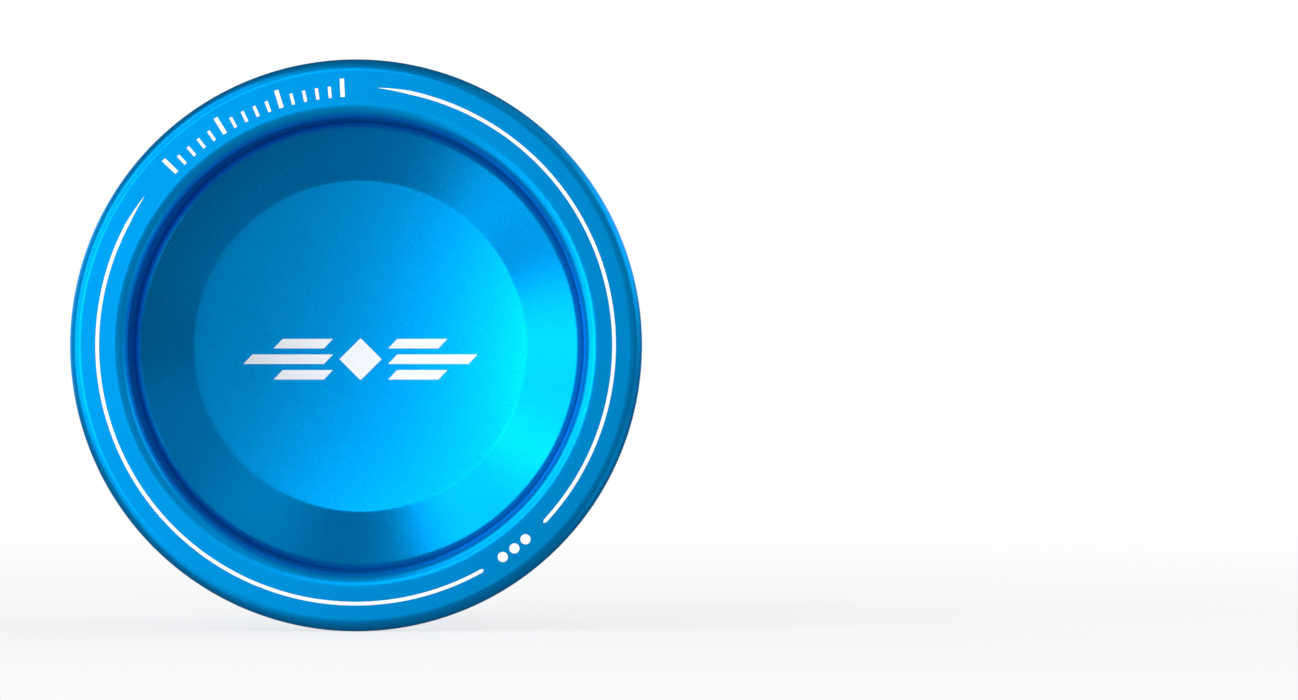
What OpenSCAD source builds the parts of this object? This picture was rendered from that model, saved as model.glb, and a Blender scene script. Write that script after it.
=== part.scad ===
// Take-apart yo-yo: two turned aluminium halves screwed onto a set screw, with a ball bearing
// clamped between them. The spin axis lies along Y, the origin is the middle of the axle and
// +Z is up. The front half faces -Y and the back half faces +Y. All sizes are in millimetres.

/* [Body] */
// Outer diameter over the rims
body_d = 56; // [55:0.5:60]
// Width over the two rim faces
body_w = 41.6; // [41:0.2:44]
// Gap between the two halves beside the bearing
gap_w = 4.9; // [4.8:0.05:5.2]
// Radius where the flat wall of the gap turns into the cone
cone_foot_r = 11.2; // [10.5:0.1:12]
// How far the wall of the gap leans back by that radius
gap_lean = 0.2; // [0:0.05:0.4]

/* [Rim] */
// Width of the straight land on the outside of the rim
land_w = 3.8; // [3:0.1:4.5]
// Width of the taper inside the land
taper_w = 2.45; // [2:0.05:3]
// Drop in radius over that taper
taper_drop = 1.05; // [0.8:0.05:1.3]
// Drop in radius at the step under the taper
step_drop = 0.7; // [0.5:0.05:0.9]
// Width of the shadow line at the foot of the step
notch_w = 0.2; // [0.2:0.05:0.4]
// Depth of that shadow line below the foot of the step
notch_depth = 0.3; // [0.2:0.05:0.6]
// Width of the band between the step and the cone
band_w = 2.4; // [2:0.1:3]
// Drop in radius over the band
band_drop = 0.85; // [0.6:0.05:1.1]
// Rounding of the outer edge of the rim
rim_round = 1.2; // [0.8:0.1:2]
// Rounding where the rim face turns into the cup
lip_round = 1.3; // [0.8:0.1:1.5]

/* [Cup] */
// Radius of the disc in the middle of the cup
disc_r = 16.45; // [15:0.05:17]
// Depth of the disc's centre below the rim face
disc_depth = 13.5; // [12.6:0.1:13.6]
// How much higher the dished disc is at its edge than at its centre
disc_dish = 0.9; // [0.2:0.05:1.1]
// Rise of the sloping ring around the disc
ring_rise = 2.5; // [2:0.1:3]
// Radius of the cup's wall at its foot
wall_foot_r = 22.2; // [21.8:0.1:22.3]
// Radius of the cup's wall at the rim face
wall_top_r = 22.3; // [22.2:0.1:23]
// Rounding where the sloping ring meets the wall
cup_round = 1.4; // [0.8:0.1:1.5]

/* [Bearing] */
// Bore of the inner race
bore_d = 6.35; // [6.35:0.005:6.4]
// Outer diameter of the outer race
race_d = 12.7; // [12.7:0.01:12.8]
// Width of the races
race_w = 4.7625; // [4.7:0.0125:4.8]
// Depth of the groove that centres the string
string_dip = 0.25; // [0.15:0.05:0.3]
// Diameter of a ball
ball_d = 1.5875; // [1.58:0.0025:1.59]
// Diameter of the inner race's outside
inner_race_d = 8.3; // [8.2:0.05:8.4]
// Diameter of the outer race's inside
outer_land_d = 10.6; // [10.5:0.05:10.7]
// Thickness of a shield
shield_t = 0.15; // [0.12:0.01:0.2]
// Opening of a snap ring
snap_gap_deg = 34; // [20:2:50]

/* [Axle] */
// Thread diameter of the set screw
thread_d = 4; // [4:0.05:4.05]
// Thread pitch
pitch = 0.7; // [0.65:0.05:0.75]
// Length of the set screw
axle_l = 12; // [11:0.5:12]
// Width across the flats of its hex socket
socket_af = 2; // [1.8:0.1:2.1]
// Depth of the hex socket
socket_depth = 2.4; // [1.5:0.1:3]

/* [Response pads] */
// Inside diameter of a pad
pad_id = 14.9; // [14.6:0.1:15.2]
// Outside diameter of a pad
pad_od = 18.9; // [18:0.1:19.5]
// Thickness of a pad
pad_t = 1.2; // [0.8:0.1:1.4]

/* [Hidden] */
BALLS = 10;
ball_name = [for (i = [1:BALLS]) str("ball_", i < 10 ? "0" : "", i)];
$fn = 96;

ANODISED = [0.02, 0.55, 0.86];
STEEL = [0.78, 0.78, 0.80];
DARK_STEEL = [0.35, 0.35, 0.37];
SILICONE = [0.93, 0.94, 0.95];

// Axial places are distances from the middle plane of the yo-yo
rim_r = body_d / 2;
face_a = body_w / 2;
land_a = face_a - land_w;
step_a = land_a - taper_w;
step_r = rim_r - taper_drop;
band_r = step_r - step_drop;
cone_a = step_a - notch_w - band_w;
cone_r = band_r - band_drop;
wall_a = gap_w / 2;
cone_round = 0.8;               // the cone's two edges are eased by this radius
disc_a = face_a - disc_depth;
ring_a = disc_a + disc_dish;
dish_r = (disc_r * disc_r + disc_dish * disc_dish) / (2 * disc_dish);  // radius of the dish's sphere

race_r = race_d / 2;
race_a = race_w / 2;
ball_r = ball_d / 2;
pitch_r = 6 * ball_r;           // radius of the circle through the balls' centres
track_r = ball_r + 0.015;       // a ball's own radius and its running clearance

seat_r = bore_d / 2 - 0.02;     // a half's post fits inside the inner race
post_a = 0.15;                  // the two posts stop just short of each other
mouth_chamfer = 0.3;            // countersink at the mouth of a tapped hole
seat_a = race_a + 0.01;         // the shoulder that clamps the inner race
relief_a = race_a + 0.35;       // clear of the shields
pocket_r = race_r + 0.12;       // the recess around the outer race
pocket_lip_a = wall_a - 0.35;
pocket_lip_r = pocket_r + 0.65;

// Corners of a half's section, as radius and distance from the middle plane
wall_point = [pocket_lip_r, wall_a];
cone_foot = [cone_foot_r, wall_a + gap_lean];
cone_corner = [cone_r, cone_a];
band_edge = [band_r, step_a - notch_w];
land_corner = [rim_r, land_a];
rim_corner = [rim_r, face_a];
lip_corner = [wall_top_r, face_a];
wall_foot = [wall_foot_r, ring_a + ring_rise + cup_round / 3];
ring_edge = [disc_r, ring_a];

hole_r = thread_d / 2 + 0.03;
hole_a = axle_l / 2 + 0.2;
hole_tip = 0.6;                 // height of the drill's cone at the bottom of the hole

pad_slot_a = wall_a + 0.1 + pad_t;
pad_slot_clear = 0.05;

step_shelf_a = race_a - 0.65;   // a shield rests on this shelf in the outer race
shelf_r = 5.7;
snap_slot_r = 5.95;
snap_slot_a = step_shelf_a + shield_t + 0.04;
snap_t = 0.22;

// What a rounding of radius r takes from, or adds to, the corner p between edges towards a and b.
// It runs a little past both edges, and its circle is a hair large, so that the circle crosses
// the edges and doesn't just touch them.
module corner_sliver(p, a, b, r) {
    past = 0.1;
    hair = 0.0005;
    to_a = (a - p) / norm(a - p);
    to_b = (b - p) / norm(b - p);
    half_angle = acos(to_a * to_b) / 2;
    reach = r / tan(half_angle);
    inwards = (to_a + to_b) / norm(to_a + to_b);
    centre = p + inwards * r / sin(half_angle);
    touch_a = p + to_a * reach;
    touch_b = p + to_b * reach;
    difference() {
        polygon([
            centre, touch_a + (touch_a - centre) * past,
            p - inwards * past * r / sin(half_angle), touch_b + (touch_b - centre) * past
        ]);
        translate(centre) circle(r = r * (1 + hair));
    }
}

// What the dish takes from a floor that is level with the disc's edge
module dish_section() {
    overcut = 1;
    intersection() {
        translate([0, disc_a + dish_r]) circle(r = dish_r, $fn = 1440);
        square([disc_r, ring_a + overcut]);
    }
}

// Section of one half, as radius and distance from the middle plane
module half_section() {
    difference() {
        polygon([
            [0, post_a], [seat_r, post_a], [seat_r, seat_a],
            [inner_race_d / 2, seat_a], [inner_race_d / 2, relief_a],
            [pocket_r, relief_a], [pocket_r, pocket_lip_a], wall_point,
            cone_foot, cone_corner, band_edge,
            [band_r - notch_depth, step_a - notch_w], [band_r - notch_depth, step_a],
            [step_r, step_a], land_corner, rim_corner,
            lip_corner, wall_foot, ring_edge, [0, ring_a]
        ]);
        dish_section();
        corner_sliver(rim_corner, land_corner, lip_corner, rim_round);
        corner_sliver(lip_corner, rim_corner, wall_foot, lip_round);
        corner_sliver(cone_corner, cone_foot, band_edge, cone_round);
        corner_sliver(cone_foot, wall_point, cone_corner, cone_round);
        polygon([
            [0, 0], [hole_r + mouth_chamfer, 0], [hole_r + mouth_chamfer, post_a],
            [hole_r, post_a + mouth_chamfer], [hole_r, hole_a], [0, hole_a + hole_tip]
        ]);
        translate([pad_id / 2 - pad_slot_clear, 0])
            square([(pad_od - pad_id) / 2 + 2 * pad_slot_clear, pad_slot_a]);
    }
}

// A part modelled about Z, distance from the middle plane upwards, is turned to either side
module on_side(side) {
    rotate([side * 90, 0, 0]) children();
}
FRONT = 1;
BACK = -1;

module half(side) {
    color(ANODISED) on_side(side) union() {
        rotate_extrude() half_section();
        rotate_extrude() corner_sliver(wall_foot, lip_corner, ring_edge, cup_round);
    }
}

module response_pad(side) {
    color(SILICONE) on_side(side) rotate_extrude()
        translate([pad_id / 2, pad_slot_a - pad_t])
            square([(pad_od - pad_id) / 2, pad_t]);
}

// The set screw. Its thread is a row of V grooves, and its socket opens towards the back half
module axle() {
    groove_half = 0.4 * pitch;
    groove_depth = 0.6 * pitch;
    grooves = floor(axle_l / pitch);
    color(DARK_STEEL) on_side(BACK) difference() {
        translate([0, 0, -axle_l / 2]) cylinder(d = thread_d, h = axle_l);
        rotate_extrude()
            for (i = [1:grooves])
                translate([thread_d / 2, (i - (grooves + 1) / 2) * pitch])
                    polygon([[0.01, groove_half], [-groove_depth, 0], [0.01, -groove_half]]);
        translate([0, 0, axle_l / 2 - socket_depth])
            cylinder(d = socket_af / cos(30), h = socket_depth + 1, $fn = 6);
    }
}

module ball_track() {
    translate([pitch_r, 0]) circle(r = track_r);
}

module outer_race() {
    chamfer = 0.12;
    dip_w = race_w - 0.5;
    dip_r = (dip_w * dip_w / 4 + string_dip * string_dip) / (2 * string_dip);
    slot_w = snap_t + 0.04;
    overcut = 0.1;
    color(STEEL) on_side(FRONT) rotate_extrude() difference() {
        polygon([
            [outer_land_d / 2, -step_shelf_a], [shelf_r, -step_shelf_a],
            [shelf_r, -race_a], [race_r - chamfer, -race_a],
            [race_r, -race_a + chamfer], [race_r, race_a - chamfer],
            [race_r - chamfer, race_a], [shelf_r, race_a],
            [shelf_r, step_shelf_a], [outer_land_d / 2, step_shelf_a]
        ]);
        translate([race_r - string_dip + dip_r, 0]) circle(r = dip_r);
        ball_track();
        for (s = [-1, 1])
            translate([shelf_r - overcut, s * (snap_slot_a + snap_t / 2) - slot_w / 2])
                square([snap_slot_r - shelf_r + overcut, slot_w]);
    }
}

module inner_race() {
    chamfer = 0.2;
    bore_r = bore_d / 2;
    color(STEEL) on_side(FRONT) rotate_extrude() difference() {
        polygon([
            [bore_r + chamfer, -race_a], [inner_race_d / 2, -race_a],
            [inner_race_d / 2, race_a], [bore_r + chamfer, race_a],
            [bore_r, race_a - chamfer], [bore_r, chamfer - race_a]
        ]);
        ball_track();
    }
}

module at_ball(i) {
    rotate([0, (i - 1) * 360 / BALLS, 0]) translate([pitch_r, 0, 0]) children();
}

module ball(i) {
    color(STEEL) at_ball(i) sphere(r = ball_r);
}

// Crown cage: a ring behind the balls, with prongs that reach round each one
module ball_cage() {
    wall = 0.75;
    back_a = 1.45;
    prong_a = 0.35;
    color(DARK_STEEL) difference() {
        on_side(FRONT) rotate_extrude()
            translate([pitch_r - wall / 2, -back_a]) square([wall, back_a + prong_a]);
        for (i = [1:BALLS])
            at_ball(i) sphere(r = ball_r + 0.06);
    }
}

// Stamped shield: a flat washer in the mouth of the outer race
module shield(side) {
    inside_r = inner_race_d / 2 + 0.15;
    outside_r = shelf_r - 0.03;
    color(STEEL) on_side(side) rotate_extrude()
        translate([inside_r, step_shelf_a]) square([outside_r - inside_r, shield_t]);
}

// Snap ring: an open ring that springs into its groove over the shield
module snap_ring(side) {
    inside_r = 5.4;
    outside_r = snap_slot_r - 0.03;
    color(DARK_STEEL) on_side(side) translate([0, 0, snap_slot_a])
        rotate([0, 0, 90 + snap_gap_deg / 2])
            rotate_extrude(angle = 360 - snap_gap_deg)
                translate([inside_r, 0]) square([outside_r - inside_r, snap_t]);
}

half(FRONT);  // front_half
half(BACK);  // back_half
axle();
outer_race();
inner_race();
ball_cage();
for (i = [1:BALLS])
    ball(i);
shield(FRONT);  // front_shield
shield(BACK);  // back_shield
snap_ring(FRONT);  // front_snap_ring
snap_ring(BACK);  // back_snap_ring
response_pad(FRONT);  // front_response_pad
response_pad(BACK);  // back_response_pad
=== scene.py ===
"""A take-apart ball bearing yo-yo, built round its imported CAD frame.

The spin axis lies along Y, the front half faces -Y and +Z is up. Sections are written in millimetres,
as radius and distance from the middle plane (a), and everything in Blender is in metres.
"""

import math

import bmesh
import bpy
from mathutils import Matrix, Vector

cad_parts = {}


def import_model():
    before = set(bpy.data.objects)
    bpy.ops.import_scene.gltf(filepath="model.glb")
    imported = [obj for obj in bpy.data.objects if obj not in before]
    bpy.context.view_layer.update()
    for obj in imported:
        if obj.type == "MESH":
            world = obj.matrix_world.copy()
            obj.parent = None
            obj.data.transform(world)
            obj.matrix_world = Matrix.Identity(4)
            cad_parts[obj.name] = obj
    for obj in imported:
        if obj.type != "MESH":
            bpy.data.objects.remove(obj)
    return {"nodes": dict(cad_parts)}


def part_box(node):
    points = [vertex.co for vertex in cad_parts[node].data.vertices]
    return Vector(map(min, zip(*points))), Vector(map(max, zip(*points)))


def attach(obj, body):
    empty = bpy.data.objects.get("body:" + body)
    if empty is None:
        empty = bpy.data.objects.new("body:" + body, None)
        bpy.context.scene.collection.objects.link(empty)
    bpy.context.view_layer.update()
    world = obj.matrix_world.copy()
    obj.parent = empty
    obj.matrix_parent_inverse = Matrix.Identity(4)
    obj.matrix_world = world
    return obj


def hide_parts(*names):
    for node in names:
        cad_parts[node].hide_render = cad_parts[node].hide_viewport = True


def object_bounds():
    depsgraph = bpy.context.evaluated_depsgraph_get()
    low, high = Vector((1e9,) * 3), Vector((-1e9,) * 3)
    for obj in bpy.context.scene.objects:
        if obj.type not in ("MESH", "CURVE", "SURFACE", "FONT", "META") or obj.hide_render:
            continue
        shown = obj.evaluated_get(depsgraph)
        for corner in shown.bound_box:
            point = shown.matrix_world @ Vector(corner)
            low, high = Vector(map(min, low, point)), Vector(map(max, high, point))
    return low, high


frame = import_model()
cad_low, cad_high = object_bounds()

MM = 0.001
FRONT, BACK = -1, 1  # the way a half faces along Y
SEGMENTS = 288  # round a half
SMALL_SEGMENTS = 160  # round the bearing and the pads


# ---------------------------------------------------------------- sizes, in millimetres

half_low, half_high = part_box("front_half")
race_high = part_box("outer_race")[1]
inner_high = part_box("inner_race")[1]
pad_low, pad_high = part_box("front_response_pad")
axle_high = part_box("axle")[1]
shield_low, shield_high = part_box("back_shield")
snap_low, snap_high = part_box("back_snap_ring")
ball_low, ball_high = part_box("ball_01")

RIM_R = half_high.x / MM
FACE_A = -half_low.y / MM
RACE_R = race_high.x / MM
RACE_A = race_high.y / MM
INNER_RACE_R = inner_high.x / MM
PAD_R = pad_high.x / MM
PAD_TOP_A = -pad_high.y / MM
PAD_BACK_A = -pad_low.y / MM
AXLE_R = axle_high.x / MM
AXLE_A = axle_high.y / MM
SHIELD_R = shield_high.x / MM
SHIELD_IN_A, SHIELD_OUT_A = shield_low.y / MM, shield_high.y / MM
SNAP_R = snap_high.z / MM
SNAP_IN_A, SNAP_OUT_A = snap_low.y / MM, snap_high.y / MM
BALL_R = (ball_high.z - ball_low.z) / 2 / MM

# the rim, from its face to the cone: land, taper, step, shadow line and band
INK = 0.02  # how far the printed marks stand off the metal, so that they end flush with the CAD face
LAND_W, TAPER_W, TAPER_DROP = 3.8, 2.45, 1.05
STEP_DROP, NOTCH_W, NOTCH_DEPTH = 0.7, 0.2, 0.3
BAND_W, BAND_DROP = 2.4, 0.85
LAND_A = FACE_A - LAND_W
STEP_R, STEP_A = RIM_R - TAPER_DROP, LAND_A - TAPER_W
BAND_R, BAND_A = STEP_R - STEP_DROP, STEP_A - NOTCH_W
CONE_R, CONE_A = BAND_R - BAND_DROP, BAND_A - BAND_W
RIM_ROUND, LIP_ROUND = 1.2, 1.3

# the cup
DISC_R, DISC_DEPTH, DISH = 16.45, 12.6, 0.9  # the depth is that of the disc's edge
RING_RISE, CUP_ROUND = 2.5, 1.4
DISC_EDGE_A = FACE_A - DISC_DEPTH
CUP_FOOT_R, CUP_FOOT_A = 22.2, DISC_EDGE_A + RING_RISE + CUP_ROUND / 3
CUP_TOP_R = 22.3

# the side that faces the string gap: leaning wall, pad slot, recess, bearing seat and tapped hole
WALL_A, GAP_LEAN = 2.45, 0.2
FOOT_R, FOOT_A = 11.2, WALL_A + GAP_LEAN
POCKET_R, POCKET_LIP_A = RACE_R + 0.12, WALL_A - 0.35
POCKET_LIP_R = POCKET_R + 0.65
RELIEF_A = RACE_A + 0.35
SEAT_R, SEAT_A, POST_A = 3.155, RACE_A + 0.01, 0.15
HOLE_R, HOLE_A, HOLE_TIP = AXLE_R + 0.03, AXLE_A + 0.2, 0.6
MOUTH_CHAMFER = 0.3
SLOT_CLEAR = 0.05
PAD_INNER_R = PAD_R - 2.0

# the bearing
BALLS = 10
BALL_CIRCLE_R, TRACK_R = 6 * BALL_R, BALL_R + 0.015
OUTER_BORE_R, SHELF_R = 5.3, SHIELD_R + 0.03
INNER_BORE_R, INNER_CHAMFER = SEAT_R + 0.02, 0.2
STRING_DIP, STRING_SHOULDER = 0.25, 0.25  # the groove that centres the string, and the land beside it
SNAP_CLEAR, SNAP_SLOT_R = 0.02, SNAP_R + 0.03
HAIR = 0.008  # a hair of chamfer where an arc meets a straight

# the set screw
PITCH, THREAD_DEPTH = 0.7, 0.42
CREST_HALF, ROOT_START, ROOT_END = 0.0625, 0.375, 0.625  # shares of the pitch
END_R = 1.5  # where the bevel of an end begins
SOCKET_HALF, SOCKET_DEPTH, SOCKET_BEVEL, SOCKET_TIP = 1.0, 2.4, 0.07, 0.3
CUP_POINT_R, CUP_POINT_WALL, CUP_POINT_LIP, CUP_POINT_DEPTH = 1.05, 0.1, 0.08, 0.6


# ---------------------------------------------------------------- mesh building

def rounded(points, turn_step=9.0):
    """A path through (radius, a, rounding) points as (radius, a, normal r, normal a).

    Its corners are true arcs, but the first and last point stay sharp. The normals point to the right of
    the way the path runs.
    """
    path = []
    for i, (r, a, rounding) in enumerate(points):
        here = Vector((r, a))
        before = Vector(points[i - 1][:2]) if i else None
        after = Vector(points[i + 1][:2]) if i + 1 < len(points) else None
        if before is None or after is None:
            along = (after - here if before is None else here - before).normalized()
            path.append((r, a, along.y, -along.x))
            continue
        arriving, leaving = (here - before).normalized(), (after - here).normalized()
        turn = arriving.angle_signed(leaving)  # positive turns clockwise
        reach = rounding * math.tan(abs(turn) / 2)
        start = here - arriving * reach
        right = Vector((arriving.y, -arriving.x))
        side = 1.0 if turn > 0 else -1.0
        centre = start + right * side * rounding
        steps = max(2, math.ceil(abs(math.degrees(turn)) / turn_step))
        for k in range(steps + 1):
            angle = -turn * k / steps
            c, s = math.cos(angle), math.sin(angle)
            n = Vector((right.x * c - right.y * s, right.x * s + right.y * c))
            p = centre - n * side * rounding
            path.append((p.x, p.y, n.x, n.y))
    return path


def add_piece(name, mesh, body, material):
    """Puts a mesh in the scene as a piece that rides on a body."""
    mesh.materials.append(material)
    obj = bpy.data.objects.new(name, mesh)
    bpy.context.scene.collection.objects.link(obj)
    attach(obj, body)
    return obj


def finish_mesh(name, vertices, faces, normals, body, material):
    """A smooth piece from vertices and faces. Where normals are given, they shade it."""
    mesh = bpy.data.meshes.new(name)
    mesh.from_pydata(vertices, [], faces)
    mesh.validate()
    for polygon in mesh.polygons:
        polygon.use_smooth = True
    if normals:
        mesh.normals_split_custom_set_from_vertices(normals)
    return add_piece(name, mesh, body, material)


def lathe(name, path, side, body, material, segments=SEGMENTS, closed=False):
    """Turns a path of (radius, a, normal r, normal a) about the axis. A point on the axis is a pole."""
    vertices, normals, rings = [], [], []
    for r, a, nr, na in path:
        count = 1 if r < 1e-6 else segments
        rings.append((len(vertices), count))
        for k in range(count):
            angle = 2 * math.pi * k / segments
            c, s = math.cos(angle), math.sin(angle)
            vertices.append((r * c * MM, side * a * MM, r * s * MM))
            normals.append((nr * c, side * na, nr * s) if count > 1 else (0, side * na, 0))
    faces = []
    following = rings[1:] + rings[:1] if closed else rings[1:]
    for (low, low_n), (high, high_n) in zip(rings, following):
        for k in range(segments):
            n = (k + 1) % segments
            if low_n == 1:
                face = (low, high + k, high + n)
            elif high_n == 1:
                face = (low + k, high, low + n)
            else:
                face = (low + k, high + k, high + n, low + n)
            faces.append(face if side == BACK else face[::-1])
    return finish_mesh(name, vertices, faces, normals, body, material)


# ---------------------------------------------------------------- materials

def principled(name, **sockets):
    """A new material, its node tree and its shader, with values on the shader's own sockets."""
    material = bpy.data.materials.new(name)
    material.use_nodes = True
    shader = material.node_tree.nodes["Principled BSDF"]
    for socket, value in sockets.items():
        shader.inputs[socket.replace("_", " ")].default_value = value
    return material, material.node_tree, shader


def node(tree, kind, **inputs):
    """A new node, with values on its inputs. An underscore stands for a space in an input's name."""
    made = tree.nodes.new(kind)
    for socket, value in inputs.items():
        made.inputs[socket.replace("_", " ")].default_value = value
    return made


def object_noise(tree, scale, detail=4.0, stretch=(1, 1, 1)):
    """Noise in the piece's own coordinates, whose features are about 1 / scale metres across."""
    coords = tree.nodes.new("ShaderNodeTexCoord")
    mapping = tree.nodes.new("ShaderNodeMapping")
    mapping.inputs["Scale"].default_value = stretch
    noise = node(tree, "ShaderNodeTexNoise", Scale=scale, Detail=detail)
    tree.links.new(coords.outputs["Object"], mapping.inputs["Vector"])
    tree.links.new(mapping.outputs["Vector"], noise.inputs["Vector"])
    return noise.outputs["Fac"]


def remap(tree, value, low, high, from_low=0.3, from_high=0.7):
    """Stretches from_low to from_high over low to high. The defaults are the span that noise fills."""
    made = node(tree, "ShaderNodeMapRange",
                From_Min=from_low, From_Max=from_high, To_Min=low, To_Max=high)
    tree.links.new(value, made.inputs["Value"])
    return made.outputs["Result"]


def colour_between(tree, factor, first, second):
    """Blends from first to second. Either may be a colour or another node's output."""
    made = tree.nodes.new("ShaderNodeMix")
    made.data_type = "RGBA"
    made.clamp_factor = True
    sockets = {socket.name: socket for socket in made.inputs if socket.type == "RGBA"}
    for name, colour in (("A", first), ("B", second)):
        if isinstance(colour, bpy.types.NodeSocket):
            tree.links.new(colour, sockets[name])
        else:
            sockets[name].default_value = (*colour, 1)
    tree.links.new(factor, made.inputs["Factor"])
    return next(output for output in made.outputs if output.type == "RGBA")


def tinted(tree, shader, factor, first, second):
    """Gives the shader a colour that runs from first to second with factor."""
    tree.links.new(colour_between(tree, factor, first, second), shader.inputs["Base Color"])


def roughened(tree, shader, factor, low, high):
    """Gives the shader a roughness that runs from low to high with factor."""
    tree.links.new(remap(tree, factor, low, high), shader.inputs["Roughness"])


def bump(tree, shader, height, depth_mm):
    """Gives the shader a relief as deep as depth_mm, in millimetres."""
    made = node(tree, "ShaderNodeBump", Strength=1.0, Distance=depth_mm * MM)
    tree.links.new(height, made.inputs["Height"])
    tree.links.new(made.outputs["Normal"], shader.inputs["Normal"])


def section_place(tree):
    """Each point's place in the section, as (radius, a, 0), and its radius, all in metres."""
    coords = tree.nodes.new("ShaderNodeTexCoord")
    flat = node(tree, "ShaderNodeVectorMath")
    flat.operation = "MULTIPLY"
    flat.inputs[1].default_value = (1, 0, 1)
    radius = node(tree, "ShaderNodeVectorMath")
    radius.operation = "LENGTH"
    parts = node(tree, "ShaderNodeSeparateXYZ")
    away = node(tree, "ShaderNodeMath")
    away.operation = "ABSOLUTE"
    place = node(tree, "ShaderNodeCombineXYZ")
    tree.links.new(coords.outputs["Object"], flat.inputs[0])
    tree.links.new(flat.outputs["Vector"], radius.inputs[0])
    tree.links.new(coords.outputs["Object"], parts.inputs["Vector"])
    tree.links.new(parts.outputs["Y"], away.inputs[0])
    tree.links.new(radius.outputs["Value"], place.inputs["X"])
    tree.links.new(away.outputs["Value"], place.inputs["Y"])
    return place.outputs["Vector"], radius.outputs["Value"]


def added(tree, *values):
    """The sum of any number of node outputs."""
    total = values[0]
    for value in values[1:]:
        made = node(tree, "ShaderNodeMath")
        made.operation = "ADD"
        tree.links.new(total, made.inputs[0])
        tree.links.new(value, made.inputs[1])
        total = made.outputs["Value"]
    return total


def near_edge(tree, place, r, a, reach, lightest):
    """A painted highlight that falls from lightest to 0 within reach of the edge at (r, a) of the
    section, all in millimetres.
    """
    core = 0.3  # the share of the reach that is all at lightest
    gap = node(tree, "ShaderNodeVectorMath")
    gap.operation = "DISTANCE"
    gap.inputs[1].default_value = (r * MM, a * MM, 0)
    tree.links.new(place, gap.inputs[0])
    return remap(tree, gap.outputs["Value"], lightest, 0.0, reach * MM * core, reach * MM)


def above_cone(tree, place):
    """0 on the cone towards the gap, and 1 on every surface further from the middle plane than it is."""
    slope = (CONE_A - FOOT_A) / (CONE_R - FOOT_R)
    cone_level = FOOT_A - slope * FOOT_R
    start, end = (cone_level + 0.06) * MM, (cone_level + 0.2) * MM
    level = node(tree, "ShaderNodeVectorMath")
    level.operation = "DOT_PRODUCT"
    level.inputs[1].default_value = (-slope, 1, 0)
    tree.links.new(place, level.inputs[0])
    return remap(tree, level.outputs["Value"], 0.0, 1.0, start, end)


def anodised():
    """Fine blasted aluminium, dyed a clear blue.

    The blue is deepest on the rim. The cup's ring is painted lighter and the disc lighter still, as
    painted light for the light they catch, and painted highlights lighten the rounding at the top of the
    cup's wall, the turned edges round the rim and the disc's edge. The cones have one middle tone. The
    rim is a little coarser than the cup.
    """
    # the second colour is the first made lighter, a lit copy of the blue that paints light on the cup and
    # the disc
    deep_dye, painted_lit_dye, cone_dye = (0.0, 0.204, 0.508), (0.0, 0.338, 0.817), (0.0, 0.242, 0.533)
    margin = 0.3  # how far the change at the cup's wall runs to each side of it, in millimetres
    soft = 0.05  # the same at the disc's edge
    wall_low, wall_high = (CUP_FOOT_R - margin) * MM, (CUP_TOP_R + margin) * MM
    # the turned edges that get painted highlights
    highlit_edges = [(RIM_R, LAND_A), (STEP_R, STEP_A), (BAND_R, BAND_A), (CONE_R, CONE_A),
                  (DISC_R, DISC_EDGE_A)]
    material, tree, shader = principled("anodised_blue", Metallic=0.8, Roughness=0.3,
                                        Specular_IOR_Level=0.2)
    shader.inputs["Specular Tint"].default_value = (0.05, 0.5, 0.7, 1)
    place, radius = section_place(tree)
    # painted light: the cup's ring is painted lighter than the rim, and the disc lighter still
    disc = remap(tree, radius, 0.5, 0.0, (DISC_R - soft) * MM, (DISC_R + soft) * MM)
    inside = remap(tree, radius, 0.5, 0.25, wall_low, wall_high)
    cloud = remap(tree, object_noise(tree, 160, 3.0), -0.04, 0.04)
    # a painted highlight on the rounding at the top of the cup's wall
    lip_highlight = near_edge(tree, place, CUP_TOP_R + margin, FACE_A - margin, reach=1.3, lightest=0.5)
    # painted highlights along those edges
    edge_highlights = [near_edge(tree, place, r, a, reach=0.3, lightest=0.35) for r, a in highlit_edges]
    # tone 0 is the deep blue and tone 1 its painted lit copy; all but the random cloud is painted light
    tone = added(tree, disc, inside, cloud, lip_highlight, *edge_highlights)
    # the blue with its painted light and painted highlights laid on it
    dye_and_painted_light = colour_between(tree, tone, deep_dye, painted_lit_dye)
    tinted(tree, shader, above_cone(tree, place), cone_dye, dye_and_painted_light)
    grain = object_noise(tree, 9000, 3.0)
    coarser_rim = remap(tree, radius, 0.0, 0.08, wall_low, wall_high)
    roughness = added(tree, remap(tree, grain, 0.26, 0.32), coarser_rim)
    tree.links.new(roughness, shader.inputs["Roughness"])
    bump(tree, shader, grain, 0.004)
    return material


def turned_steel(name, base, roughness, line_depth, stretched=0.0):
    """Steel with the fine lines that grinding leaves round the axis.

    stretched, from 0 to 1, is how much the lines draw the highlights out along the axis.
    """
    quarter_turn = 0.25  # the highlights run across the lines
    material, tree, shader = principled(name, Metallic=1.0, Roughness=roughness, Anisotropic=stretched,
                                        Anisotropic_Rotation=quarter_turn)
    if stretched:
        round_axis = tree.nodes.new("ShaderNodeTangent")
        round_axis.direction_type = "RADIAL"
        round_axis.axis = "Y"
        tree.links.new(round_axis.outputs["Tangent"], shader.inputs["Tangent"])
    lines = object_noise(tree, 900, 4.0, (0.2, 20, 0.2))
    tinted(tree, shader, lines, [c * 0.95 for c in base], base)
    roughened(tree, shader, lines, roughness * 0.9, roughness * 1.1)
    bump(tree, shader, lines, line_depth)
    return material


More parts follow.
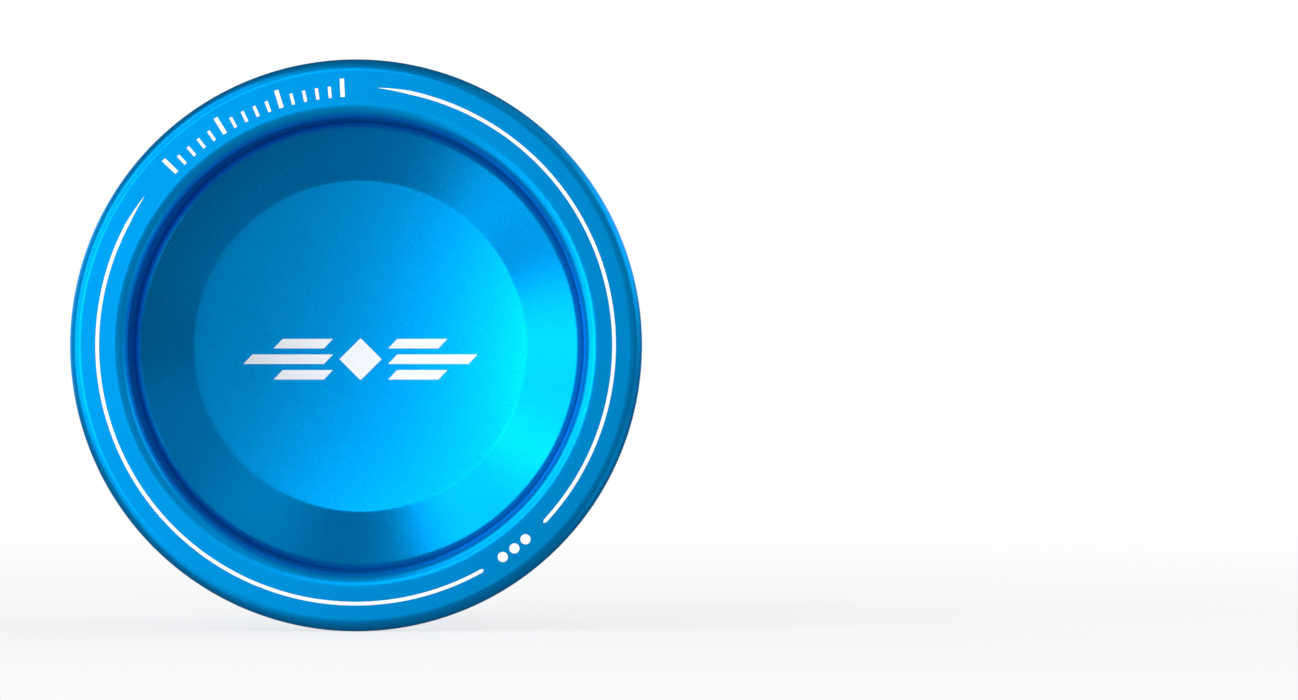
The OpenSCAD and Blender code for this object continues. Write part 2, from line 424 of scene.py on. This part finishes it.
def mottled(material, tree, shader, scale, detail, dark, light, smooth, rough, depth_mm):
    """Gives a material small marks: a colour, a roughness and a height that wander together."""
    marks = object_noise(tree, scale, detail)
    tinted(tree, shader, marks, dark, light)
    roughened(tree, shader, marks, smooth, rough)
    bump(tree, shader, marks, depth_mm)
    return material


def stamped_steel():
    made = principled("stamped_steel", Metallic=1.0, Roughness=0.3)
    return mottled(*made, scale=2500, detail=5.0, dark=(0.30, 0.30, 0.30), light=(0.46, 0.45, 0.44),
                   smooth=0.24, rough=0.38, depth_mm=0.003)


def black_oxide():
    made = principled("black_oxide", Metallic=0.9, Roughness=0.38)
    return mottled(*made, scale=1800, detail=5.0, dark=(0.035, 0.035, 0.04), light=(0.10, 0.10, 0.105),
                   smooth=0.30, rough=0.48, depth_mm=0.004)


def silicone():
    made = principled("poured_silicone", Roughness=0.5, Subsurface_Weight=0.25, Subsurface_Scale=0.6 * MM)
    shader = made[-1]
    shader.inputs["Subsurface Radius"].default_value = (1.0, 1.0, 1.0)
    return mottled(*made, scale=3000, detail=4.0, dark=(0.72, 0.75, 0.78), light=(0.84, 0.86, 0.88),
                   smooth=0.45, rough=0.6, depth_mm=0.006)


def white_ink():
    made = principled("white_ink", Roughness=0.45)
    return mottled(*made, scale=5000, detail=4.0, dark=(0.93, 0.94, 0.95), light=(1.0, 1.0, 1.0),
                   smooth=0.38, rough=0.55, depth_mm=0.002)


BLUE = anodised()
RACE_STEEL = turned_steel("race_steel", (0.8, 0.795, 0.79), 0.42, 0.0005, stretched=0.8)
BALL_STEEL = turned_steel("ball_steel", (0.78, 0.78, 0.78), 0.08, 0.0002)
STAMPED = stamped_steel()
OXIDE = black_oxide()
SILICONE = silicone()
WHITE = white_ink()


# ---------------------------------------------------------------- the two halves

def disc_a(r):
    """Distance from the middle plane of the dished disc in the cup."""
    return DISC_EDGE_A - DISH * (1 - (r / DISC_R) ** 2)


def wall(r):
    """Distance from the middle plane of the leaning wall beside the string gap."""
    return WALL_A + (FOOT_A - WALL_A) * (r - POCKET_LIP_R) / (FOOT_R - POCKET_LIP_R)


def half_path():
    """The section of a half, from its tapped hole round the outside to the middle of the cup."""
    slot_in, slot_out = PAD_INNER_R - SLOT_CLEAR, PAD_R + SLOT_CLEAR
    notch_r = BAND_R - NOTCH_DEPTH
    face = FACE_A - INK
    fine, eased = 0.05, 0.12  # a corner as the tool leaves it, and one that is broken
    foot_round, cone_round, land_round = 0.8, 0.5, 0.3
    path = rounded([
        (0, HOLE_A + HOLE_TIP, 0), (HOLE_R, HOLE_A, fine), (HOLE_R, POST_A + MOUTH_CHAMFER, fine),
        (HOLE_R + MOUTH_CHAMFER, POST_A, fine), (SEAT_R, POST_A, 0.15), (SEAT_R, SEAT_A, fine),
        (INNER_RACE_R, SEAT_A, fine), (INNER_RACE_R, RELIEF_A, fine),
        (POCKET_R, RELIEF_A, 0.15), (POCKET_R, POCKET_LIP_A, 0.1), (POCKET_LIP_R, WALL_A, eased),
        (slot_in, wall(slot_in), fine), (slot_in, PAD_BACK_A, fine), (slot_out, PAD_BACK_A, fine),
        (slot_out, wall(slot_out), fine), (FOOT_R, FOOT_A, foot_round), (CONE_R, CONE_A, cone_round),
        (BAND_R, BAND_A, 0.08), (notch_r, BAND_A, 0.06), (notch_r, STEP_A, 0.06),
        (STEP_R, STEP_A, eased), (RIM_R, LAND_A, land_round), (RIM_R, face, RIM_ROUND),
        (CUP_TOP_R, face, LIP_ROUND), (CUP_FOOT_R, CUP_FOOT_A, CUP_ROUND),
        (DISC_R, DISC_EDGE_A, eased), (0, DISC_EDGE_A - 2 * DISH, 0),
    ])
    # the disc is dished, so its straight last stretch is replaced by a row of rings
    path.pop()
    edge_r = path[-1][0]
    rings = 14
    for k in range(1, rings + 1):
        r = edge_r * (1 - k / rings)
        slope = 2 * DISH * r / DISC_R ** 2
        length = math.hypot(1, slope)
        path.append((r, disc_a(r), -slope / length, 1 / length))
    return path


def replace(piece, node_name):
    """Lets a piece take a CAD node's place by hiding the node."""
    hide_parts(node_name)


for word, side in (("front", FRONT), ("back", BACK)):
    replace(lathe(f"turned_half_{word}", half_path(), side, f"{word}_side", BLUE),
            f"{word}_half")


# ---------------------------------------------------------------- printed marks

LINE_R, LINE_W = 25.25, 0.35  # the line round the rim
LINE_STEP = 0.5  # all angles of the marks are in degrees
LINES = ((145, 299.7, 7, 0), (316.6, 445, 0, 7))  # start, end, taper at the start and at the end
TICKS, TICK_START, TICK_END, TICK_INNER_R = 16, 93, 136, 24.3
SHORT_TICK, LONG_TICK, LONG_EVERY = (25.4, 0.3), (26.1, 0.42), 5  # a tick's outer radius and width
DOT_ANGLE, DOT_STEP, DOT_RADIUS, DOT_PLACE_R = 308, 3.2, 0.5, 25.2
EMBLEM_Z, DIAMOND_REACH = -1.3, 2.1
BARS = ((1.55, 8.2), (0, 11.2), (-1.55, 8.2))  # a bar's height above the emblem's middle, and reach
BAR_INNER, BAR_HEIGHT, BAR_SLANT = 3.2, 0.95, 0.9


def patch(rows, side, across):
    """One thin closed skin on a face.

    rows are pairs of (x, z) points in millimetres, and each row is cut into as many parts as across says.
    """
    columns = across + 1
    vertices, faces = [], []
    for (x0, z0), (x1, z1) in rows:
        for k in range(columns):
            x, z = x0 + (x1 - x0) * k / across, z0 + (z1 - z0) * k / across
            r = math.hypot(x, z)
            a = disc_a(r) if r < DISC_R else FACE_A - INK
            for lift in (-INK, INK):
                vertices.append((-side * x * MM, side * (a + lift) * MM, z * MM))

    def at(row, column, top):
        return (row * columns + column) * 2 + top

    last = len(rows) - 1
    for row in range(last):
        for k in range(across):
            faces.append((at(row, k, 1), at(row + 1, k, 1), at(row + 1, k + 1, 1), at(row, k + 1, 1)))
            faces.append((at(row, k, 0), at(row, k + 1, 0), at(row + 1, k + 1, 0), at(row + 1, k, 0)))
        faces.append((at(row, 0, 0), at(row + 1, 0, 0), at(row + 1, 0, 1), at(row, 0, 1)))
        faces.append((at(row, across, 1), at(row + 1, across, 1),
                      at(row + 1, across, 0), at(row, across, 0)))
    for k in range(across):
        faces.append((at(0, k, 0), at(0, k, 1), at(0, k + 1, 1), at(0, k + 1, 0)))
        faces.append((at(last, k, 1), at(last, k, 0), at(last, k + 1, 0), at(last, k + 1, 1)))
    return vertices, faces


def polar(r, degrees):
    """The (x, z) of a point at radius r. The angle runs anticlockwise from the right of the face."""
    return r * math.cos(math.radians(degrees)), r * math.sin(math.radians(degrees))


def arc_rows(start, end, taper_start, taper_end):
    """A line round the rim, from start to end degrees. An end is round, or tapers over some degrees."""
    point_share = 0.08  # the width of a tapered end, as a share of the line's
    narrowest = 0.04
    rows = []
    count = round((end - start) / LINE_STEP)
    for k in range(count + 1):
        angle = start + (end - start) * k / count
        width = LINE_W
        for gone, taper in ((angle - start, taper_start), (end - angle, taper_end)):
            if taper:
                width = min(width, LINE_W * (point_share + (1 - point_share) * gone / taper))
            else:
                run = math.radians(gone) * LINE_R
                cut = max(0.0, LINE_W / 2 - run)
                width = min(width, max(narrowest, 2 * math.sqrt(max((LINE_W / 2) ** 2 - cut ** 2, 0))))
        rows.append((polar(LINE_R - width / 2, angle), polar(LINE_R + width / 2, angle)))
    return rows


def tick_rows(angle, outer_r, width):
    """A short bar that points to the axis."""
    rows = []
    for r in (TICK_INNER_R, outer_r):
        half_turn = math.degrees(width / 2 / r)
        rows.append((polar(r, angle + half_turn), polar(r, angle - half_turn)))
    return rows


def dot_rows(angle):
    """A dot, as rows that stop just short of its foot and its top."""
    steps, short = 12, 0.04
    cx, cz = polar(DOT_PLACE_R, angle)
    rows = []
    for k in range(steps + 1):
        t = math.pi * (short + (1 - 2 * short) * k / steps)
        reach, z = DOT_RADIUS * math.sin(t), cz - DOT_RADIUS * math.cos(t)
        rows.append(((cx - reach, z), (cx + reach, z)))
    return rows


def bar_rows(x0, x1, z):
    """A level bar with leaning ends."""
    rows = []
    for up in (-0.5, 0.0, 0.5):
        lean, level = BAR_SLANT * up, z + BAR_HEIGHT * up
        rows.append(((x0 + lean, level), (x1 + lean, level)))
    return rows


def diamond_rows(z):
    """A diamond, as rows from just above its foot to just below its top."""
    rows = []
    for s in (-0.98, -0.5, 0.0, 0.5, 0.98):
        half_width, level = DIAMOND_REACH * (1 - abs(s)), z + DIAMOND_REACH * s
        rows.append(((-half_width, level), (half_width, level)))
    return rows


def print_on(side, body, name):
    """The printed marks: a broken line, ticks and dots round the rim, and an emblem on the disc."""
    # each patch is its rows and the number of parts across them
    patches = [(arc_rows(*line), 2) for line in LINES]
    for k in range(TICKS):
        angle = TICK_START + (TICK_END - TICK_START) * k / (TICKS - 1)
        outer_r, width = SHORT_TICK if k % LONG_EVERY else LONG_TICK
        patches.append((tick_rows(angle, outer_r, width), 1))
    for k in (-1, 0, 1):
        patches.append((dot_rows(DOT_ANGLE + DOT_STEP * k), 4))
    patches.append((diamond_rows(EMBLEM_Z), 4))
    for s in (-1, 1):
        for z, reach in BARS:
            x0, x1 = sorted((s * BAR_INNER, s * reach))
            patches.append((bar_rows(x0, x1, EMBLEM_Z + z), 12))
    vertices, faces = [], []
    for rows, across in patches:
        more, sides = patch(rows, side, across)
        base = len(vertices)
        vertices += more
        faces += [tuple(base + i for i in reversed(f)) for f in sides]
    obj = finish_mesh(name, vertices, faces, None, body, WHITE)
    for polygon in obj.data.polygons:
        polygon.use_smooth = False
    return obj


print_on(FRONT, "front_side", "print_front")
print_on(BACK, "back_side", "print_back")


# ---------------------------------------------------------------- bearing, pads and axle

def hollow(centre_r, radius, start, end, steps=12):
    """A concave arc about (centre_r, 0), from start to end degrees, with normals towards its centre."""
    path = []
    for k in range(steps + 1):
        angle = math.radians(start + (end - start) * k / steps)
        c, s = math.cos(angle), math.sin(angle)
        path.append((centre_r + radius * c, radius * s, -c, -s))
    return path


def mirrored(points):
    """The same points on the other side of the middle plane, in the order that goes on from them."""
    return [(r, -a, rounding) for r, a, rounding in reversed(points)]


def outer_race():
    """The outer race, with its string groove, ball track, shield shelves and snap ring slots."""
    slot_in, slot_out = SNAP_IN_A - SNAP_CLEAR, SNAP_OUT_A + SNAP_CLEAR
    half_w = RACE_A - STRING_SHOULDER
    groove_r = (half_w ** 2 + STRING_DIP ** 2) / (2 * STRING_DIP)
    groove_deg = math.degrees(math.asin(half_w / groove_r))
    track_half = math.sqrt(TRACK_R ** 2 - (OUTER_BORE_R - BALL_CIRCLE_R) ** 2)
    track_deg = math.degrees(math.asin(track_half / TRACK_R))
    fine = 0.015
    upper = [
        (RACE_R, half_w + HAIR, 0), (RACE_R, RACE_A, 0.12), (SHELF_R, RACE_A, 0.05),
        (SHELF_R, slot_out, fine), (SNAP_SLOT_R, slot_out, fine), (SNAP_SLOT_R, slot_in, fine),
        (SHELF_R, slot_in, fine), (SHELF_R, SHIELD_IN_A, 0.02), (OUTER_BORE_R, SHIELD_IN_A, 0.03),
        (OUTER_BORE_R, track_half + HAIR, 0),
    ]
    groove_centre_r = RACE_R - STRING_DIP + groove_r
    return (rounded(upper) + hollow(BALL_CIRCLE_R, TRACK_R, track_deg, -track_deg)
            + rounded(mirrored(upper))
            + hollow(groove_centre_r, groove_r, 180 + groove_deg, 180 - groove_deg, steps=24))


def inner_race():
    """The inner race, with its ball track and a chamfered bore."""
    track_half = math.sqrt(TRACK_R ** 2 - (BALL_CIRCLE_R - INNER_RACE_R) ** 2)
    track_deg = math.degrees(math.asin(track_half / TRACK_R))
    upper = [
        (INNER_RACE_R, track_half + HAIR, 0), (INNER_RACE_R, RACE_A, 0.06),
        (INNER_BORE_R + INNER_CHAMFER, RACE_A, 0.03), (INNER_BORE_R, RACE_A - INNER_CHAMFER, 0.03),
    ]
    return (rounded(upper + mirrored(upper))
            + hollow(BALL_CIRCLE_R, TRACK_R, 180 + track_deg, 180 - track_deg))


def shield():
    """A stamped washer with a shallow pressed ring. The section starts and ends in its bore."""
    inside_r, outside_r = INNER_RACE_R + 0.15, SHIELD_R
    middle = (SHIELD_IN_A + SHIELD_OUT_A) / 2
    border, ramp, edge = 0.35, 0.1, 0.03
    ring_in, ring_out = inside_r + border, outside_r - border
    pressed_a = SHIELD_OUT_A - (SHIELD_OUT_A - SHIELD_IN_A) * 0.4
    return rounded([
        (inside_r, middle, 0), (inside_r, SHIELD_IN_A, edge), (outside_r, SHIELD_IN_A, edge),
        (outside_r, SHIELD_OUT_A, edge), (ring_out, SHIELD_OUT_A, 0.1), (ring_out - ramp, pressed_a, 0.1),
        (ring_in + ramp, pressed_a, 0.1), (ring_in, SHIELD_OUT_A, 0.1), (inside_r, SHIELD_OUT_A, edge),
        (inside_r, middle + 0.005, 0),
    ])


def response_pad():
    """A ring of silicone whose open face is poured, so that its edges creep a little up the slot."""
    middle = (PAD_TOP_A + PAD_BACK_A) / 2
    meniscus, edge = 0.04, 0.28
    open_a = PAD_TOP_A + meniscus
    return rounded([
        (PAD_INNER_R, middle, 0), (PAD_INNER_R, PAD_TOP_A, 0.07), (PAD_INNER_R + edge, open_a, 0.3),
        (PAD_R - edge, open_a, 0.3), (PAD_R, PAD_TOP_A, 0.07), (PAD_R, PAD_BACK_A, 0.1),
        (PAD_INNER_R, PAD_BACK_A, 0.1), (PAD_INNER_R, middle + 0.01, 0),
    ])


def thread_sheet(columns):
    """The right-hand thread: the vertices and faces of one sheared sheet, wrapped round the axis.

    Both of its ends are cut off square and bevelled.
    """
    profile = ((-CREST_HALF, 0.0), (CREST_HALF, 0.0),
               (ROOT_START, THREAD_DEPTH), (ROOT_END, THREAD_DEPTH))
    turns = math.ceil(2 * AXLE_A / PITCH) + 1
    rows = [(turn + along, AXLE_R - depth) for turn in range(turns + 1) for along, depth in profile]
    count = len(rows)
    vertices, faces = [], []
    for j in range(columns):
        angle = 2 * math.pi * j / columns
        for along, r in rows:
            a = min(max((along - j / columns) * PITCH - AXLE_A, -AXLE_A), AXLE_A)
            r = min(r, END_R + AXLE_A - abs(a))
            vertices.append((r * math.cos(angle) * MM, a * MM, r * math.sin(angle) * MM))
        beside = (j + 1) % columns
        drop = len(profile) if beside == 0 else 0
        for i in range(drop, count - 1):
            here, there = j * count + i, beside * count + i - drop
            faces.append((here, here + 1, there + 1, there))
    return vertices, faces


def close_end(bm, end_a, rings, pole_a):
    """Closes the open end at end_a with rings of (radius at an angle, a) down to a point on the axis."""
    rim = [v for v in bm.verts if v.is_boundary and abs(v.co.y / MM - end_a) < 1e-3]
    rim.sort(key=lambda v: math.atan2(v.co.z, v.co.x))
    angles = [math.atan2(v.co.z, v.co.x) for v in rim]
    for radius_at, a in rings:
        made = []
        for t in angles:
            r = radius_at(t)
            made.append(bm.verts.new((r * math.cos(t) * MM, a * MM, r * math.sin(t) * MM)))
        for k in range(len(rim)):
            bm.faces.new((rim[k], rim[k - 1], made[k - 1], made[k]))
        rim = made
    pole = bm.verts.new((0, pole_a * MM, 0))
    for k in range(len(rim)):
        bm.faces.new((rim[k], rim[k - 1], pole))


def axle():
    """The set screw, with a cup point in the front half and a hex socket towards the back half."""
    bm = bmesh.new()
    vertices, faces = thread_sheet(columns=48)
    made = [bm.verts.new(v) for v in vertices]
    for face in faces:
        bm.faces.new([made[i] for i in face])
    bmesh.ops.remove_doubles(bm, verts=bm.verts, dist=1e-7)
    bmesh.ops.dissolve_degenerate(bm, dist=1e-7, edges=bm.edges)

    def hexagon(extra):
        sixth = math.pi / 3
        return lambda t: extra + SOCKET_HALF / math.cos(t % sixth - sixth / 2)

    foot_a = AXLE_A - SOCKET_DEPTH
    socket = [(hexagon(SOCKET_BEVEL), AXLE_A), (hexagon(0), AXLE_A - SOCKET_BEVEL), (hexagon(0), foot_a)]
    close_end(bm, AXLE_A, socket, foot_a - SOCKET_TIP)
    cup_point = [(lambda t: CUP_POINT_R, -AXLE_A),
                 (lambda t: CUP_POINT_R - CUP_POINT_WALL, -AXLE_A + CUP_POINT_LIP)]
    close_end(bm, -AXLE_A, cup_point, -AXLE_A + CUP_POINT_DEPTH)
    bmesh.ops.recalc_face_normals(bm, faces=bm.faces)
    mesh = bpy.data.meshes.new("set_screw")
    bm.to_mesh(mesh)
    bm.free()
    return add_piece("set_screw", mesh, "front_side", OXIDE)


def ring(name, path, side, body, material):
    """A small turned ring, whose path closes on itself."""
    return lathe(name, path, side, body, material, SMALL_SEGMENTS, closed=True)


replace(ring("turned_outer_race", outer_race(), BACK, "bearing_outer", RACE_STEEL),
        "outer_race")
replace(ring("turned_inner_race", inner_race(), BACK, "bearing_inner", RACE_STEEL),
        "inner_race")
for word, side in (("front", FRONT), ("back", BACK)):
    replace(ring(f"pressed_shield_{word}", shield(), side, "bearing_outer", STAMPED),
            f"{word}_shield")
    replace(ring(f"poured_pad_{word}", response_pad(), side, f"{word}_side", SILICONE),
            f"{word}_response_pad")
replace(axle(), "axle")


def finish_node(name, material):
    """Gives a CAD node that is kept as it is a material of its own."""
    materials = frame["nodes"][name].data.materials
    materials.clear()
    materials.append(material)


for number in range(1, BALLS + 1):
    finish_node(f"ball_{number:02d}", BALL_STEEL)
for name in ("ball_cage", "front_snap_ring", "back_snap_ring"):
    finish_node(name, STAMPED)


# ---------------------------------------------------------------- stage, camera and light

scene = bpy.context.scene
scene.view_settings.view_transform = "Standard"

FLOOR_Z = cad_low.z
LIGHT_LEVEL = 1.2  # scales the world and every softbox
AMBIENT = 0.175  # strength of the even light from all round

# a tall soft source on the left, with dimmer ones round it, two near the camera and a row on the right:
# name, azimuth, elevation, distance, width, height, watts
LIGHTS = (
    ("key", -55, 15, 0.7, 0.28, 0.42, 1.05),
    ("key_core", -50, 26, 0.7, 0.16, 0.16, 0.2),
    ("key_low", -55, -8, 0.7, 0.28, 0.2, 0.55),
    ("key_high", -42, 44, 0.7, 0.3, 0.25, 0.68),
    ("low_left", -35, -30, 0.7, 0.3, 0.25, 0.48),
    ("near", -22, 1, 0.7, 0.2, 0.2, 1.17),
    ("near_top", -7, 20, 0.7, 0.22, 0.2, 0.53),
    ("right", 90, 24, 0.7, 0.45, 0.35, 0.95),
    ("right_low", 90, 6, 0.7, 0.45, 0.2, 0.2),
    ("low_right", 75, -25, 0.7, 0.3, 0.3, 0.25),
    ("right_back", 130, 22, 0.75, 0.45, 0.35, 0.7),
    ("right_front", 50, 20, 0.7, 0.35, 0.3, 0.08),
    ("front_right", 28, 4, 0.7, 0.25, 0.2, 0.1),
    ("front_high", 34, 44, 0.7, 0.3, 0.3, 0.16),
    ("right_high", 95, 52, 0.7, 0.6, 0.3, 0.25),
    ("left_back", -112, 10, 0.75, 0.4, 0.45, 0.6),
    ("back_left", -150, 8, 0.8, 0.5, 0.4, 1.5),
    ("back_right", 160, 10, 0.8, 0.5, 0.4, 1.0),
    ("top", 0, 84, 0.75, 0.7, 0.5, 0.06),
)


def mix_surfaces(tree, factor, first, second, output):
    """Shows first where factor is 0 and second where it is 1."""
    mix = tree.nodes.new("ShaderNodeMixShader")
    tree.links.new(factor, mix.inputs["Fac"])
    tree.links.new(first.outputs[0], mix.inputs[1])
    tree.links.new(second.outputs[0], mix.inputs[2])
    tree.links.new(mix.outputs[0], output.inputs["Surface"])


def stage_floor():
    """A pale floor that fades into the background a little way off. Its sizes are in metres."""
    rings, segments, reach = 24, 96, 0.6
    densest, fade_start, fade_end = 0.25, 0.08, 0.5
    vertices = [(0.0, 0.0, FLOOR_Z)]
    faces = []
    for i in range(1, rings + 1):
        for k in range(segments):
            angle = 2 * math.pi * k / segments
            r = reach * i / rings
            vertices.append((r * math.cos(angle), r * math.sin(angle), FLOOR_Z))
    for k in range(segments):
        faces.append((0, 1 + k, 1 + (k + 1) % segments))
    for i in range(rings - 1):
        for k in range(segments):
            here = 1 + i * segments + k
            beside = 1 + i * segments + (k + 1) % segments
            faces.append((here, here + segments, beside + segments, beside))
    mesh = bpy.data.meshes.new("floor")
    mesh.from_pydata(vertices, [], faces)
    floor = bpy.data.objects.new("floor", mesh)
    scene.collection.objects.link(floor)
    material, tree, shader = principled("floor", Roughness=0.9, Specular_IOR_Level=0.0)
    shader.inputs["Base Color"].default_value = (0.9, 0.9, 0.9, 1)
    coords = tree.nodes.new("ShaderNodeTexCoord")
    length = tree.nodes.new("ShaderNodeVectorMath")
    length.operation = "LENGTH"
    tree.links.new(coords.outputs["Object"], length.inputs[0])
    fade = remap(tree, length.outputs["Value"], densest, 0.0, fade_start, fade_end)
    clear = tree.nodes.new("ShaderNodeBsdfTransparent")
    mix_surfaces(tree, fade, clear, shader, tree.nodes["Material Output"])
    mesh.materials.append(material)


def world():
    """A white background, and a dimmer even light from all round."""
    made = bpy.data.worlds.new("studio")
    scene.world = made
    made.use_nodes = True
    tree = made.node_tree
    seen = tree.nodes["Background"]
    lit = tree.nodes.new("ShaderNodeBackground")
    for background, strength in ((seen, 1.0), (lit, AMBIENT * LIGHT_LEVEL)):
        background.inputs["Color"].default_value = (1, 1, 1, 1)
        background.inputs["Strength"].default_value = strength
    path = tree.nodes.new("ShaderNodeLightPath")
    mix_surfaces(tree, path.outputs["Is Camera Ray"], lit, seen, tree.nodes["World Output"])


def direction(azimuth, elevation):
    """Azimuth 0 is in front of the front face, and 90 is off its right side, as seen from the front."""
    az, el = math.radians(azimuth), math.radians(elevation)
    return Vector((math.sin(az) * math.cos(el), -math.cos(az) * math.cos(el), math.sin(el)))


def softbox(name, azimuth, elevation, distance, width, height, watts):
    """A rectangular lamp that faces the object and isn't seen. Distance and size are in metres."""
    light = bpy.data.lights.new(name, "AREA")
    light.shape = "RECTANGLE"
    light.size, light.size_y = width, height
    light.energy = watts * LIGHT_LEVEL
    obj = bpy.data.objects.new(name, light)
    scene.collection.objects.link(obj)
    towards = direction(azimuth, elevation)
    obj.location = towards * distance
    obj.rotation_mode = "QUATERNION"
    obj.rotation_quaternion = towards.to_track_quat("Z", "Y")
    obj.visible_camera = False


def camera():
    """Looks at the front face from straight ahead, a little to its right, as the face view was taken."""
    distance = 0.7
    frame_in_rims = 4.5385  # width of the frame at plane_y, in rim radii
    plane_y = -(FACE_A - RIM_ROUND) * MM  # where the rim is widest
    view_w = RIM_R * MM * frame_in_rims
    aim = Vector((0.02867, plane_y, -0.00046))
    data = bpy.data.cameras.new("camera")
    data.sensor_width = 36
    data.lens = data.sensor_width * distance / view_w
    data.clip_start, data.clip_end = 0.01, 20
    obj = bpy.data.objects.new("camera", data)
    scene.collection.objects.link(obj)
    obj.location = (0.0254, plane_y - distance, -0.005)
    obj.rotation_mode = "QUATERNION"
    obj.rotation_quaternion = (aim - obj.location).to_track_quat("-Z", "Y")
    scene.camera = obj


stage_floor()
world()
camera()
for lamp in LIGHTS:
    softbox(*lamp)
